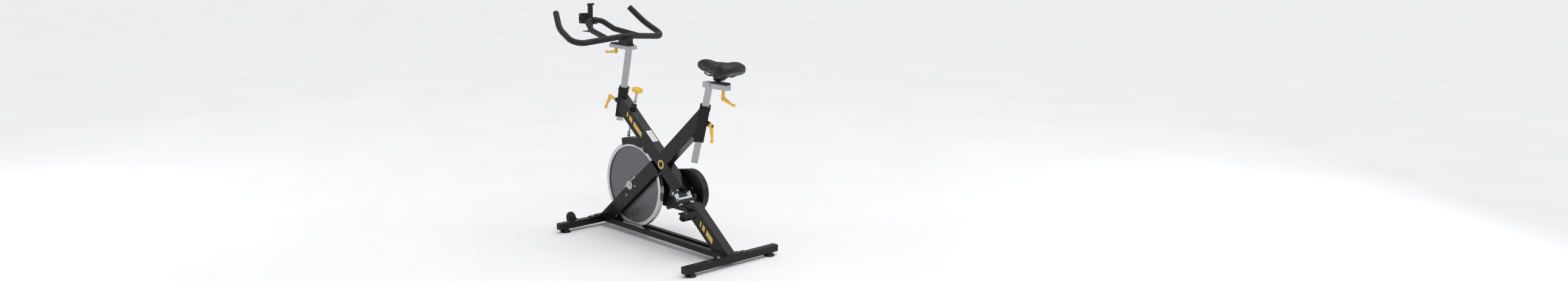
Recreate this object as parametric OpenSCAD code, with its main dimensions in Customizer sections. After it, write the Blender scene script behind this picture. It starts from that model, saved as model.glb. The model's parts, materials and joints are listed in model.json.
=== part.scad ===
// Indoor exercise bike: welded frame, belt driven flywheel, adjustable seat and handlebar.
// X points forward, Y to the rider's left, Z up. The origin is on the floor, at the middle.

/* [Base] */
// Length of both floor stabilizers, across the bike
stabilizer_length = 632; // [600:2:660]
// Side of the square stabilizer tube
stabilizer_size = 35; // [30:1:38]
// Wall of all frame tubes
wall = 2; // [1.5:0.1:3]
// Diameter of a levelling foot
foot_diameter = 57; // [44:1:64]
// Radius of a transport wheel
roller_radius = 36; // [28:1:38]

/* [Flywheel] */
// Radius of the flywheel
flywheel_radius = 228.5; // [210:0.5:229]
// Width of the flywheel rim
rim_width = 25.5; // [20:0.5:27]

/* [Drive] */
// Length of a crank arm, axis to axis
crank_length = 170; // [160:1:175]
// Radius of the pulley on the crank
drive_pulley_radius = 85.5; // [80:0.5:97]
// Radius of the pulley on the flywheel axle
small_pulley_radius = 15.3; // [14:0.1:17]

/* [Rider contact] */
// Radius of the foam covered handlebar
grip_radius = 16; // [13:0.5:17]
// Side of both square adjusting posts
post_size = 34.8; // [30:0.2:34.9]
// Length of a pedal body along its spindle
pedal_length = 90; // [80:1:96]

/* [Hidden] */

// Clearance between bodies that only pass each other
gap = 0.4;
// Radial clearance of a shaft that turns or slides in its bore
fit = 0.04;

// Base
front_x = 433.5;
rear_x = -596.4;
stabilizer_z = 18;
stabilizer_top = stabilizer_z + stabilizer_size;
rail_top = 60.5;
rail_bottom = 32;
rail_inner = 17;
rail_outer = 43;
foot_y = 268.7;
roller_x = 501;
roller_z = 48;
roller_y = 181;
roller_width = 22;

// Main tube, seat tube and fork legs: points are [x, z] on the centre line
tube_width = 50.8;
tube_height = 76.2;
main_point = [266.3, 720.5];
main_dir = [0.7738, 0.6334];
seat_tube_point = [-251.1, 599];
seat_tube_dir = [0.7431, -0.6691];
leg_point = [190.1, 214.2];
leg_dir = [0.7570, -0.6534];
leg_inner = 16.5;
leg_outer = 35.5;

// Adjusting posts: a reference point on the axis and a backward lean
head_point = [250.8, 794.5];
head_lean = 11.8;
seat_point = [-397.9, 779];
seat_lean = 14.8;
sleeve_size = 51;
collar_size = 55;
liner_size = 41;
head_clamp_z = -85.4;
seat_clamp_z = -77.3;

// Drive
crank_axis = [-231.5, 310];
flywheel_axis = [160.3, 278.7];
rest_angle = 6;
guard_in = -38.5;
guard_split = -58;
guard_out = -77;
belt_y = -57;
belt_width = 10;
left_pedal_y = 138;
right_pedal_y = -184;
left_pitch = 126;
right_pitch = 22;

// Brake: rod line from the knob to the arm, and the arm's pivot
knob_centre = [137.6, 0, 795.3];
rod_end = [215.8, 0, 535.7];
rod_dir = (rod_end - knob_centre) / norm(rod_end - knob_centre);
brake_pivot = [65.6, 489.5];
arm_outer = 258;
arm_inner = 219;
arm_half = 18;

// Handlebar and saddle
bar_tip = [516.8, 251.9, 1195.1];
bar_kink = [430.9, 291, 1115.2];
bar_corner = [275.5, 306, 1048.1];
bar_middle = [227.2, 22.8, 1075.2];
loop_front = [512, 49, 1135];
loop_bend = [431, 76, 1092];
loop_end = [243.5, 112, 1064.5];
track_top = 1026;
saddle_split = 958;

function unit(v) = v / norm(v);
// Crossing of two lines [x, z], each a point and a direction
function cross2(a, b) = a[0] * b[1] - a[1] * b[0];
function meet(p, u, q, v) = p + u * (cross2(q - p, v) / cross2(u, v));
// The same direction turned a quarter turn upwards
function up(d) = [-d[1], d[0]];
function on_circle(c, r, a) = c + r * [cos(a), sin(a)];
function arc(c, r, a0, a1, n) = [for (i = [0:n]) on_circle(c, r, a0 + (a1 - a0) * i / n)];

// A flat outline in the X-Z plane, made solid from y0 to y1
module slab(y0, y1) {
  translate([0, y1, 0]) rotate([90, 0, 0]) linear_extrude(y1 - y0) children();
}
module disc_y(c, r, y0, y1) {
  translate([c[0], min(y0, y1), c[1]]) rotate([-90, 0, 0]) cylinder(r = r, h = abs(y1 - y0), $fn = 72);
}
module box(lo, hi) {
  translate(lo) cube(hi - lo);
}
// Puts +Z on the line from p to q
module aim(p, q) {
  d = q - p;
  translate(p) rotate([0, acos(d[2] / norm(d)), atan2(d[1], d[0])]) children();
}
module rod(p, q, r) {
  aim(p, q) cylinder(r = r, h = norm(q - p), $fn = 48);
}
module head_frame() {
  translate([head_point[0], 0, head_point[1]]) rotate([0, -head_lean, 0]) children();
}
module seat_frame() {
  translate([seat_point[0], 0, seat_point[1]]) rotate([0, -seat_lean, 0]) children();
}
// A square bar standing on its edge, along +Z
module diamond(side, z0, z1) {
  translate([0, 0, z0]) rotate([0, 0, 45]) translate([-side / 2, -side / 2, 0]) cube([side, side, z1 - z0]);
}
module hex_bolt(p, q, r) {
  aim(p, q) {
    cylinder(r = r, h = norm(q - p), $fn = 6);
    cylinder(r = r * 1.25, h = 1.2, $fn = 32);
  }
}

// Points of a rounded corner of radius r at q, between its neighbours p and s
function corner(p, q, s, r, n) = let(
  a = unit(p - q),
  b = unit(s - q),
  half = acos(a * b) / 2,
  c = q + unit(a + b) * r / sin(half),
  t = r / tan(half),
  x = unit(q + a * t - c),
  y = cross(unit(cross(x, q + b * t - c)), x)
) [for (i = [0:n]) c + r * (cos((180 - 2 * half) * i / n) * x + sin((180 - 2 * half) * i / n) * y)];
// The points of a line with a rounded corner at every inner point
function rounded(points, radii, n) = concat(
  [points[0]],
  [for (i = [1:len(points) - 2]) each corner(points[i - 1], points[i], points[i + 1], radii[i], n)],
  [points[len(points) - 1]]
);
// A round tube swept along points; no stretch of it may be upright
module swept_tube(path, r, sides) {
  n = len(path);
  rings = [for (i = [0:n - 1]) let(
    t = unit(path[min(i + 1, n - 1)] - path[max(i - 1, 0)]),
    u = unit(cross([0, 0, 1], t)),
    v = cross(t, u)
  ) each [for (k = [0:sides - 1]) path[i] + r * (cos(360 * k / sides) * u + sin(360 * k / sides) * v)]];
  faces = concat(
    [[for (k = [0:sides - 1]) k]],
    [[for (k = [sides - 1:-1:0]) (n - 1) * sides + k]],
    [for (i = [0:n - 2], k = [0:sides - 1]) let(
      a = i * sides + k, b = i * sides + (k + 1) % sides, d = a + sides
    ) [a, d, b + sides]],
    [for (i = [0:n - 2], k = [0:sides - 1]) let(
      a = i * sides + k, b = i * sides + (k + 1) % sides
    ) [a, b + sides, b]]
  );
  polyhedron(points = rings, faces = faces, convexity = 6);
}

// ---- Base ----
module base_rails() color("#1c1c1e") {
  x0 = rear_x + stabilizer_size / 2;
  x1 = front_x - stabilizer_size / 2;
  for (s = [-1, 1]) {
    y0 = s > 0 ? rail_inner : -rail_outer;
    y1 = s > 0 ? rail_outer : -rail_inner;
    difference() {
      box([x0, y0, rail_bottom], [x1, y1, rail_top]);
      box([x0 + 4, y0 + wall, rail_bottom + wall], [x1 - 4, y1 - wall, rail_top - wall]);
      box([x0 + 200, y0 + 8, rail_bottom - 1], [x0 + 220, y1 - 8, rail_bottom + wall + 1]);
    }
  }
}

module stabilizer(x, tab) color("#1c1c1e") {
  half = stabilizer_size / 2;
  end = stabilizer_length / 2 - 3;
  difference() {
    box([x - half, -end, stabilizer_z], [x + half, end, stabilizer_top]);
    box([x - half + wall, -end - 1, stabilizer_z + wall], [x + half - wall, end + 1, stabilizer_top - wall]);
    for (s = [-1, 1]) {
      translate([x, s * foot_y, stabilizer_z - 1]) cylinder(r = 5 + fit, h = wall + 2, $fn = 48);
    }
  }
  // Bolted plate under the welded tubes, with its tab on the inner face
  difference() {
    box([x - half, -100, stabilizer_top], [x + half, 100, rail_top]);
    for (y = [-80, 80]) box([x - half - 3, y - 21, stabilizer_top + 4], [x + half + 3, y + 21, rail_top + 1]);
  }
  for (s = [-1, 1]) box([tab - 2, s * 53 - 9, rail_bottom + 4], [tab + 2, s * 53 + 9, stabilizer_top]);
}
module front_stabilizer() stabilizer(front_x, front_x - stabilizer_size / 2 - 2);
module rear_stabilizer() stabilizer(rear_x, rear_x + stabilizer_size / 2 + 2);

module end_caps() color("#0f0f10") {
  half = stabilizer_size / 2;
  end = stabilizer_length / 2;
  for (x = [front_x, rear_x], s = [-1, 1]) {
    y0 = s > 0 ? end - 3 : -end;
    box([x - half, y0, stabilizer_z], [x + half, y0 + 3, stabilizer_top]);
    y1 = s > 0 ? end - 15 : -end + 3;
    box([x - half + wall, y1, stabilizer_z + wall], [x + half - wall, y1 + 12, stabilizer_top - wall]);
  }
}

// A rubber cone on a threaded stud that runs up into the stabilizer
module foot(x, y) color("#161616") {
  top = stabilizer_z - gap;
  translate([x, y, 0]) rotate_extrude($fn = 72) polygon([
    [0, 0], [foot_diameter / 2 - 1, 0], [foot_diameter / 2, 1], [foot_diameter / 2, 5],
    [17, top - 3], [15, top], [5, top],
    [5, stabilizer_top - 8], [4, stabilizer_top - 7], [0, stabilizer_top - 7]
  ]);
}
module foot_front_left() foot(front_x, foot_y);
module foot_front_right() foot(front_x, -foot_y);
module foot_rear_left() foot(rear_x, foot_y);
module foot_rear_right() foot(rear_x, -foot_y);

module wheel_brackets() color("#1c1c1e") for (s = [-1, 1]) {
  face = front_x + stabilizer_size / 2;
  y = s * roller_y;
  arm = y - roller_width / 2 - 4;
  box([face, arm - 8, stabilizer_z + 2], [face + 3, y + 20, stabilizer_top - 1]);
  difference() {
    union() {
      box([face + 3, arm, 32], [roller_x, arm + 3.4, stabilizer_top - 1]);
      disc_y([roller_x, roller_z - 5], 15, arm, arm + 3.4);
      box([roller_x - 15, arm, 32], [roller_x + 15, arm + 3.4, 43]);
    }
    box([roller_x - 16, arm - 1, 20], [roller_x + 16, arm + 5, 32]);
  }
  disc_y([roller_x, roller_z], 4, arm + 3.4, y + roller_width / 2 + 3);
  hex_bolt([roller_x, y + roller_width / 2 + 1, roller_z], [roller_x, y + roller_width / 2 + 6, roller_z], 7);
}

// A roller with recessed faces on its own bolt
module transport_wheel(y) color("#141414") difference() {
  y0 = y - roller_width / 2;
  translate([roller_x, y0, roller_z]) rotate([-90, 0, 0]) rotate_extrude($fn = 96) polygon([
    [0, 0.5], [10, 0.5], [10, 3], [26, 3], [27, 0.5], [roller_radius - 3, 0.5], [roller_radius, 4],
    [roller_radius, roller_width - 4], [roller_radius - 3, roller_width - 0.5], [27, roller_width - 0.5],
    [26, roller_width - 3], [10, roller_width - 3], [10, roller_width - 0.5], [0, roller_width - 0.5]
  ]);
  disc_y([roller_x, roller_z], 4 + fit, y0 - 1, y0 + roller_width + 1);
}
module transport_wheel_left() transport_wheel(roller_y);
module transport_wheel_right() transport_wheel(-roller_y);

// ---- Welded tubes ----
half_h = tube_height / 2;
head_dir = [-sin(head_lean), cos(head_lean)];
seat_dir = [-sin(seat_lean), cos(seat_lean)];
main_up = up(main_dir);
seat_tube_up = [0.6691, 0.7431];
leg_up = [0.6534, 0.7570];

// Outline of the main tube: cut level at the foot and along the head sleeve's axis on top
function main_outline(h) = [
  meet(main_point + main_up * h, main_dir, [0, rail_top], [1, 0]),
  meet(main_point - main_up * h, main_dir, [0, rail_top], [1, 0]),
  meet(main_point - main_up * h, main_dir, head_point, head_dir),
  meet(main_point + main_up * h, main_dir, head_point, head_dir)
];
module main_tube() color("#1b1b1d") {
  w = tube_width / 2;
  difference() {
    slab(-w, w) polygon(main_outline(half_h));
    slab(-w + wall, w - wall) polygon([
      for (p = main_outline(half_h - wall)) p + [0, p[1] < 70 ? -1 : 0]
    ]);
    head_frame() diamond(sleeve_size, -200, 20);
    disc_y(crank_axis, 26, -w - 1, w + 1);
    aim(knob_centre, rod_end) cylinder(r = 8.5, h = 230, $fn = 48);
    disc_y(brake_pivot, 9, -w - 1, w + 1);
  }
  // Ears under the tube that carry the brake arm
  ear_top = meet(main_point - main_up * half_h, main_dir, brake_pivot, [0, 1]);
  for (s = [-1, 1]) difference() {
    y0 = s > 0 ? arm_half + gap : -w;
    y1 = s > 0 ? w : -arm_half - gap;
    slab(y0, y1) polygon([
      ear_top + main_dir * 30, ear_top - main_dir * 32, brake_pivot + [-11, -8], brake_pivot + [9, -10]
    ]);
    disc_y(brake_pivot, 5, -w - 1, w + 1);
  }
}

module seat_tube() color("#1b1b1d") {
  w = tube_width / 2;
  top_line = main_point + main_up * half_h;
  difference() {
    slab(-w, w) polygon([
      meet(seat_tube_point - seat_tube_up * half_h, seat_tube_dir, seat_point, seat_dir),
      meet(seat_tube_point + seat_tube_up * half_h, seat_tube_dir, seat_point, seat_dir),
      meet(seat_tube_point + seat_tube_up * half_h, seat_tube_dir, top_line, main_dir),
      meet(seat_tube_point - seat_tube_up * half_h, seat_tube_dir, top_line, main_dir)
    ]);
    h = half_h - wall;
    low = top_line - main_up * 1;
    slab(-w + wall, w - wall) polygon([
      meet(seat_tube_point - seat_tube_up * h, seat_tube_dir, seat_point, seat_dir),
      meet(seat_tube_point + seat_tube_up * h, seat_tube_dir, seat_point, seat_dir),
      meet(seat_tube_point + seat_tube_up * h, seat_tube_dir, low, main_dir),
      meet(seat_tube_point - seat_tube_up * h, seat_tube_dir, low, main_dir)
    ]);
    seat_frame() diamond(sleeve_size, -260, 40);
  }
}

// The two legs that carry the flywheel, from the main tube down to the rails
function leg_outline(h) = [
  meet(leg_point - leg_up * h, leg_dir, main_point - main_up * half_h, main_dir),
  meet(leg_point + leg_up * h, leg_dir, main_point - main_up * half_h, main_dir),
  meet(leg_point + leg_up * h, leg_dir, [0, rail_top], [1, 0]),
  meet(leg_point - leg_up * h, leg_dir, [0, rail_top], [1, 0])
];
module fork_legs() color("#1b1b1d") for (s = [-1, 1]) {
  y0 = s > 0 ? leg_inner : -leg_outer;
  y1 = s > 0 ? leg_outer : -leg_inner;
  difference() {
    union() {
      difference() {
        slab(y0, y1) polygon(leg_outline(half_h));
        slab(y0 + wall, y1 - wall) polygon([
          for (p = leg_outline(half_h - wall)) p + [0, p[1] < 70 ? -1 : 0]
        ]);
      }
      disc_y(flywheel_axis, 27, y0, y1);
    }
    disc_y(flywheel_axis, 20, y0 - 1, y1 + 1);
  }
}

module sleeve_body(z0, slope) {
  difference() {
    union() {
      diamond(sleeve_size, z0, 0);
      diamond(collar_size, -12, 0);
    }
    diamond(liner_size, z0 - 1, 1);
    translate([0, 0, z0]) rotate([0, slope, 0]) translate([-100, -60, -100]) cube([200, 120, 100]);
  }
}
module head_sleeve() color("#1b1b1d") head_frame() {
  difference() {
    sleeve_body(-160, -24);
    translate([0, 0, head_clamp_z]) rotate([0, 90, 0]) cylinder(r = 6, h = 80, $fn = 48);
  }
  translate([33, 0, head_clamp_z]) rotate([0, 90, 0]) difference() {
    cylinder(r = 13, h = 17, $fn = 48);
    translate([0, 0, -1]) cylinder(r = 6, h = 30, $fn = 48);
  }
}
module seat_sleeve() color("#1b1b1d") seat_frame() {
  difference() {
    sleeve_body(-190, 8);
    translate([0, 0, seat_clamp_z]) rotate([0, -90, 0]) cylinder(r = 6, h = 80, $fn = 48);
  }
  translate([-33, 0, seat_clamp_z]) rotate([0, -90, 0]) difference() {
    cylinder(r = 13, h = 17, $fn = 48);
    translate([0, 0, -1]) cylinder(r = 6, h = 30, $fn = 48);
  }
}
// Plastic bushes between the sleeves and the posts
module liner(z0) difference() {
  union() {
    diamond(liner_size, z0, 0);
    diamond(sleeve_size, 0, 4);
  }
  diamond(post_size + 0.2, z0 - 1, 6);
}
module sleeve_liners() color("#111112") {
  head_frame() difference() {
    liner(-112);
    translate([0, 0, head_clamp_z]) rotate([0, 90, 0]) cylinder(r = 6, h = 80, $fn = 48);
  }
  seat_frame() difference() {
    liner(-112);
    translate([0, 0, seat_clamp_z]) rotate([0, -90, 0]) cylinder(r = 6, h = 80, $fn = 48);
  }
}

module bottom_bracket() color("#1b1b1d") difference() {
  disc_y(crank_axis, 26, -36, 36);
  disc_y(crank_axis, 17, -40, 40);
}
// Ball bearings, as plain rings: a pair for the crank and a pair for the flywheel
module bearing(c, y, half, bore, outside) difference() {
  disc_y(c, outside, y - half, y + half);
  disc_y(c, bore + fit, y - half - 1, y + half + 1);
}
module bearings() color("#b9bcc0") for (s = [-1, 1]) {
  bearing(crank_axis, s * 28, 6, 10, 17);
  bearing(flywheel_axis, s * (leg_inner + leg_outer) / 2, (leg_outer - leg_inner) / 2, 8.5, 20);
}

// Cap over the axle end, and clamping blocks on each leg's upper edge
module axle_caps() color("#c9ccd0") {
  disc_y(flywheel_axis, 25, leg_outer, leg_outer + 4);
  disc_y(flywheel_axis, 9, leg_outer + 4, leg_outer + 7);
  foot_point = flywheel_axis + leg_up * ((leg_point + leg_up * half_h - flywheel_axis) * leg_up);
  for (s = [-1, 1], b = [[-70, -42], [-36, 46]]) difference() {
    y0 = s > 0 ? leg_inner : -leg_outer;
    slab(y0, y0 + leg_outer - leg_inner) polygon([
      foot_point + leg_dir * b[0], foot_point + leg_dir * b[1],
      foot_point + leg_dir * b[1] + leg_up * 9, foot_point + leg_dir * b[0] + leg_up * 9
    ]);
    disc_y(flywheel_axis, 27.1, -50, 50);
  }
}

// Bolts of the frame: stabilizer plates, legs, brake pivot and guard
module frame_bolts() color("#c9ccd0") {
  for (x = [front_x, rear_x], s = [-1, 1])
    hex_bolt([x, s * 84, stabilizer_top + 4], [x, s * 84, stabilizer_top + 10], 8);
  for (p = [[115, 280], [186, 219]], s = [-1, 1])
    hex_bolt([p[0], s * leg_outer, p[1]], [p[0], s * (leg_outer + (s > 0 ? 4 : 2.6)), p[1]], 5);
  w = tube_width / 2;
  for (s = [-1, 1]) disc_y(brake_pivot, 5, s * 15, s * w);
  for (s = [-1, 1]) {
    hex_bolt([brake_pivot[0], s * w, brake_pivot[1]], [brake_pivot[0], s * (w + 5), brake_pivot[1]], 8);
  }
  for (p = [[-118, 378], [68, 322], [132, 205], [-96, 215]])
    disc_y(p, 3.5, guard_out - 1, guard_out);
}

// ---- Belt guard ----
guard_rear = [-231.5, 305.5];
guard_front = [17.3, 173.7];
guard_nose = [173.5, 223];
function guard_points(inset) = concat(
  arc(guard_rear, 115.5 - inset, 270, 78.5, 40),
  arc(guard_front, 198 - inset, 78.5, 18, 20),
  arc(guard_nose, 33 - inset, 18, -90, 12)
);
module guard_inner() color("#1f1f21") difference() {
  slab(guard_split, guard_in) polygon(guard_points(0));
  slab(guard_split - 1, guard_in - 2.5) polygon(guard_points(2.5));
  disc_y(crank_axis, 37, guard_split - 1, guard_in + 1);
  disc_y(flywheel_axis, 12, guard_split - 1, guard_in + 1);
}
module guard_outer() color("#1f1f21") difference() {
  slab(guard_out, guard_split) polygon(guard_points(0));
  slab(guard_out + 5, guard_split + 1) polygon(guard_points(2.5));
  disc_y(crank_axis, 14, guard_out - 1, guard_split + 1);
  // Stepped round recess about the crank
  disc_y(crank_axis, 87.5, guard_out - 1, guard_out + 1.5);
  disc_y(crank_axis, 42.6, guard_out - 1, guard_out + 2.5);
}
module guard_back_plate() color("#b8bbbf") difference() {
  box([-174, guard_in, 255], [-76, guard_in + 2, 305]);
  disc_y(crank_axis, 60, guard_in - 1, guard_in + 3);
}

// Flat belt round both pulleys
function belt_outline(extra) = let(
  d = flywheel_axis - crank_axis,
  heading = atan2(d[1], d[0]),
  wrap = acos((drive_pulley_radius - small_pulley_radius) / norm(d))
) concat(
  arc(crank_axis, drive_pulley_radius + extra, heading + wrap, heading + 360 - wrap, 60),
  arc(flywheel_axis, small_pulley_radius + extra, heading - wrap, heading + wrap, 20)
);
module drive_belt() color("#2b2b2b") slab(belt_y - belt_width / 2, belt_y + belt_width / 2) difference() {
  polygon(belt_outline(2.2));
  polygon(belt_outline(0.3));
}

// ---- Crank set ----
module crank_frame(a) {
  translate([crank_axis[0], 0, crank_axis[1]]) rotate([0, a, 0]) children();
}
module crank_spindle() color("#8f9296") {
  disc_y(crank_axis, 10, -84, 58);
  disc_y(crank_axis, 9, 66, 67);
  disc_y(crank_axis, 9, -94, -93);
}
// An arm from the spindle boss out to the pedal boss; s is the side it flares to
module crank_arm(a, y_in, y_out, flare, s) color("#1d1d1f") crank_frame(a) {
  difference() {
    union() {
      disc_y([0, 0], 18, y_in, y_out);
      disc_y([crank_length, 0], 14.5, y_in + s * flare, y_out + s * flare);
      translate([0, 0, -12]) linear_extrude(24) polygon([
        [0, y_in + s * 1], [40, y_in + s * 1], [crank_length - 20, y_in + s * flare],
        [crank_length, y_in + s * flare], [crank_length, y_out + s * flare],
        [crank_length - 24, y_out + s * flare], [44, y_out - s * 0.5], [0, y_out - s * 0.5]
      ]);
    }
    disc_y([0, 0], 10, y_in - s, y_in + s * 4);
  }
  // Pedal spindle, fixed in the arm
  tip = y_out + s * flare;
  far = s > 0 ? left_pedal_y + pedal_length / 2 - 6 : right_pedal_y - pedal_length / 2 + 6;
  disc_y([crank_length, 0], 6, tip, far);
  disc_y([crank_length, 0], 9, tip, tip + s * 4);
}
module crank_left() crank_arm(180 + rest_angle, 54, 66, 14, 1);
module crank_right() crank_arm(rest_angle, -80, -93, 22, -1);
module drive_pulley() color("#3a3a3d") difference() {
  union() {
    disc_y(crank_axis, drive_pulley_radius, belt_y - 7, belt_y + 7);
    disc_y(crank_axis, 20, belt_y - 9, belt_y + 12);
  }
  disc_y(crank_axis, 10, -90, 0);
  for (i = [0:4]) disc_y(crank_axis + 58 * [cos(i * 72), sin(i * 72)], 22, -90, 0);
}

// ---- Pedals, drawn level with the toe towards +X, then hung at their rest pitch ----
module pedal_frame(side) {
  a = side > 0 ? 180 + rest_angle : rest_angle;
  y = side > 0 ? left_pedal_y : right_pedal_y;
  translate([crank_axis[0] + crank_length * cos(a), y, crank_axis[1] - crank_length * sin(a)])
    rotate([0, side > 0 ? left_pitch : right_pitch, 0]) children();
}
module pedal_body(side) color("#c4c7cb") pedal_frame(side) difference() {
  h = pedal_length / 2;
  union() {
    disc_y([0, 0], 11, -h + 2, h - 2);
    // End webs, waisted in the middle
    for (y = [-h + 2, h - 8]) slab(y, y + 6) polygon([
      [-32, -12], [-24, -12], [-8, -8], [8, -8], [24, -12], [32, -12],
      [32, 12], [24, 12], [8, 8], [-8, 8], [-24, 12], [-32, 12]
    ]);
  }
  disc_y([0, 0], 6 + fit, -60, 60);
}
// Toothed plate round the pedal
module pedal_cage(side) color("#131314") pedal_frame(side) {
  h = pedal_length / 2;
  for (x = [-35, 32]) difference() {
    box([x, -h, -14], [x + 3, h, 14]);
    for (i = [-4:4], z = [-14, 14]) {
      translate([x - 1, i * 10, z]) rotate([45, 0, 0]) translate([0, -2.6, -2.6]) cube([5, 5.2, 5.2]);
    }
    for (i = [-1, 1]) box([x - 1, i * 24 - 12, -6], [x + 4, i * 24 + 12, 6]);
  }
}
// Hooked cage over the toe, cut out in windows
module toe_clip(side) color("#131314") pedal_frame(side) {
  difference() {
    slab(-34, 34) difference() {
      polygon(concat([[35.1, -9]], arc([72, 24], 36, -80, 84, 20), [[52, 62], [50, 55]],
        arc([72, 24], 32.5, 80, -80, 20), [[35.1, -5]]));
    }
    for (s = [-1, 1]) box([44, s * 15 - 8, -20], [78, s * 15 + 8, 10]);
    box([94, -16, 2], [112, 16, 40]);
    for (s = [-1, 1]) translate([62, s * 34, 66]) rotate([0, 0, 45]) cube([24, 24, 60], center = true);
  }
}
// Strap loop over the foot, with its buckle and free end on the outer side
module toe_strap(side) color("#161617") pedal_frame(side) {
  h = pedal_length / 2 + 3.4;
  outer = arc([0, 20], h, 0, 180, 24);
  inner = arc([0, 20], h - 2.2, 180, 0, 24);
  translate([7.5, 0, 0]) rotate([90, 0, 90]) linear_extrude(15)
    polygon(concat([[h, -18]], outer, [[-h, -18], [-h + 2.2, -18]], inner, [[h - 2.2, -18]]));
  box([7.5, -h, -20.2], [22.5, h, -18]);
  box([5, side * h - 2, 26], [25, side * h + 2, 46]);
  translate([7.5, side * (h + 2), 40]) rotate([90, 0, 90]) linear_extrude(15) mirror([side > 0 ? 0 : 1, 0])
    polygon([[0, 0], [24, 7], [44, 4], [44, 1.8], [24, 4.8], [0, -2.2]]);
}
module pedal_left() pedal_body(1);
module pedal_cage_left() pedal_cage(1);
module toe_clip_left() toe_clip(1);
module toe_strap_left() toe_strap(1);
module pedal_right() pedal_body(-1);
module pedal_cage_right() pedal_cage(-1);
module toe_clip_right() toe_clip(-1);
module toe_strap_right() toe_strap(-1);

// ---- Flywheel ----
module flywheel_disc() color("#8d9094") difference() {
  union() {
    disc_y(flywheel_axis, flywheel_radius - 20, -6, 6);
    disc_y(flywheel_axis, 42, -12, 12);
  }
  disc_y(flywheel_axis, 8.5, -20, 20);
}
module flywheel_rim() color("#d5d8dc") difference() {
  w = rim_width / 2;
  disc_y(flywheel_axis, flywheel_radius, -w, w);
  disc_y(flywheel_axis, flywheel_radius - 20, -w - 1, w + 1);
  difference() {
    disc_y(flywheel_axis, flywheel_radius + 1, -2, 2);
    disc_y(flywheel_axis, flywheel_radius - 1.5, -3, 3);
  }
}
module flywheel_axle() color("#8f9296") {
  disc_y(flywheel_axis, 8.5, belt_y - 8, leg_outer - 1);
  disc_y(flywheel_axis, small_pulley_radius, belt_y - 7, belt_y + 7);
}

// ---- Brake ----
module brake_knob() color("#e8c448") aim(knob_centre, rod_end) difference() {
  translate([0, 0, -7]) union() {
    translate([0, 0, 2]) cylinder(r = 28.5, h = 10, $fn = 72);
    cylinder(r = 24, h = 14, $fn = 72);
    for (i = [0:11]) rotate([0, 0, i * 30]) translate([25, 0, 1]) cylinder(r = 6, h = 12, $fn = 32);
    translate([0, 0, 14]) cylinder(r = 12, h = 12, $fn = 48);
  }
  translate([0, 0, -1]) cylinder(r = 6 + fit, h = 40, $fn = 48);
}
module brake_rod() color("#b9bcc0") aim(knob_centre, rod_end) {
  length = norm(rod_end - knob_centre);
  cylinder(r = 6, h = length - 6, $fn = 48);
  translate([0, 0, 64]) cylinder(r = 10, h = 6, $fn = 48);
  translate([0, 0, length - 26]) cylinder(r = 9, h = 26, $fn = 48);
}
// Moulded sleeve where the rod enters the main tube
module brake_boot() color("#151516") difference() {
  intersection() {
    aim(knob_centre, rod_end) translate([0, 0, 84]) union() {
      cylinder(r = 14, h = 90, $fn = 48);
      translate([0, 0, 22]) cylinder(r = 20, h = 70, $fn = 48);
    }
    slab(-40, 40) polygon([
      main_point + main_up * half_h - main_dir * 300, main_point + main_up * half_h + main_dir * 40,
      main_point + main_up * 400, main_point + main_up * 400 - main_dir * 400
    ]);
  }
  aim(knob_centre, rod_end) cylinder(r = 6 + fit, h = 300, $fn = 48);
}
// Channel over the top of the flywheel
module brake_arm() color("#1b1b1d") difference() {
  slab(-arm_half, arm_half) polygon(concat(
    arc(flywheel_axis, arm_outer, 69, 117, 24), [brake_pivot + [-12, 6], brake_pivot + [-20, -22]],
    arc(flywheel_axis, arm_inner, 121, 67, 24)
  ));
  slab(-arm_half + 3, arm_half - 3) polygon(concat(
    arc(flywheel_axis, arm_outer - 4, 60, 130, 30), arc(flywheel_axis, arm_inner - 20, 130, 60, 30)
  ));
  disc_y(brake_pivot, 5 + fit, -40, 40);
  // Clearance under the main tube
  slab(-40, 40) polygon([
    main_point - main_up * (half_h + 1.5), main_point - main_up * (half_h + 1.5) - main_dir * 500,
    main_point - main_dir * 500, main_point
  ]);
}
module brake_pad() color("#6b5b45") slab(-11, 11) polygon(concat(
  arc(flywheel_axis, arm_outer - 4, 60 + 70 / 6, 60 + 70 / 3, 5),
  arc(flywheel_axis, flywheel_radius + 3.5, 60 + 70 / 3, 60 + 70 / 6, 5)
));

// ---- Clamp levers: hub along +Z from the clamp, arm towards +X ----
module clamp_lever(hub, reach, rise, screw) color("#e8c448") {
  cylinder(r1 = 7.5, r2 = 9, h = hub - 12, $fn = 48);
  translate([0, 0, hub - 12]) cylinder(r = 10, h = 14, $fn = 48);
  rotate([90, 0, 0]) translate([0, 0, -6.5]) linear_extrude(13) polygon([
    [-6, hub - 12], [8, hub - 12], [reach - 15, hub + rise - 10], [reach - 12, hub + rise - 14],
    [reach, hub + rise - 12], [reach, hub + rise], [6, hub + 4], [-6, hub + 2]
  ]);
  translate([0, 0, hub + 2]) cylinder(r = 6, h = 3, $fn = 48);
  translate([0, 0, -screw]) cylinder(r = 4, h = screw, $fn = 48);
}
module lever_head() head_frame() translate([53, 0, head_clamp_z]) rotate([0, 90, 0])
  clamp_lever(57, 78, 28, 28);
module lever_seat() seat_frame() translate([-53, 0, seat_clamp_z]) rotate([0, -90, 0]) rotate([0, 0, 180])
  clamp_lever(20, 82, 26, 28);
module lever_bar() translate([317.5, 0, track_top - 19]) rotate([180, 0, 0]) clamp_lever(27, 88, 12, 10);
module lever_saddle() translate([-526.3, 0, 876]) rotate([180, 0, 180]) clamp_lever(47, 81.5, 26, 10);

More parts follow.
